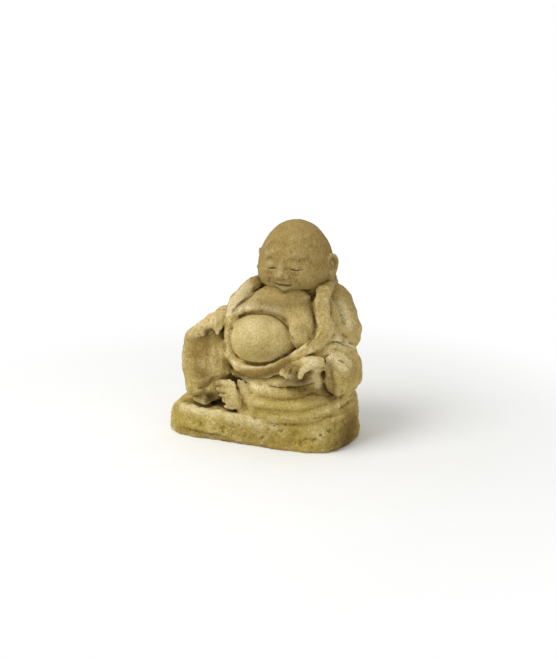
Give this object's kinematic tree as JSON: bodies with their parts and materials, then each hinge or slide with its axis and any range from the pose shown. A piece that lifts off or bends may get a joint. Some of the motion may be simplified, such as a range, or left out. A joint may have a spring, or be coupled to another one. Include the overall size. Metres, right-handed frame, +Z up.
{
  "type": "buddha garden statue",
  "caption": "Seated bald round-bellied buddha figure in an open robe, hands on its knees, on a rough-hewn slab, carved-look garden ornament in weathered cast stone",
  "frame": {"origin": "middle of the plinth's flat underside", "axes": "+Z up; the figure faces -Y; +X is the figure's own left"},
  "size_m": [0.3179, 0.2044, 0.362],
  "materials": {
    "figure_stone": "matte",
    "robe_stone": "matte",
    "plinth_stone": "matte"
  },
  "bodies": {
    "root": {"plinth": "plinth_stone", "head": "figure_stone", "left_ear": "figure_stone", "right_ear": "figure_stone", "left_lapel": "robe_stone", "right_lapel": "robe_stone", "trunk": "robe_stone", "left_front": "robe_stone", "right_front": "robe_stone", "belly": "figure_stone", "chest": "figure_stone", "left_forearm": "robe_stone", "right_forearm": "robe_stone", "left_cuff": "robe_stone", "left_hand": "figure_stone", "right_hand": "figure_stone", "left_sleeve": "robe_stone", "right_sleeve": "robe_stone", "sleeve_drape": "robe_stone", "right_leg": "robe_stone", "knee_drape": "robe_stone", "waist_band": "robe_stone", "left_foot": "figure_stone", "right_foot": "figure_stone", "lap_robe": "robe_stone"}
  },
  "joints": []
}
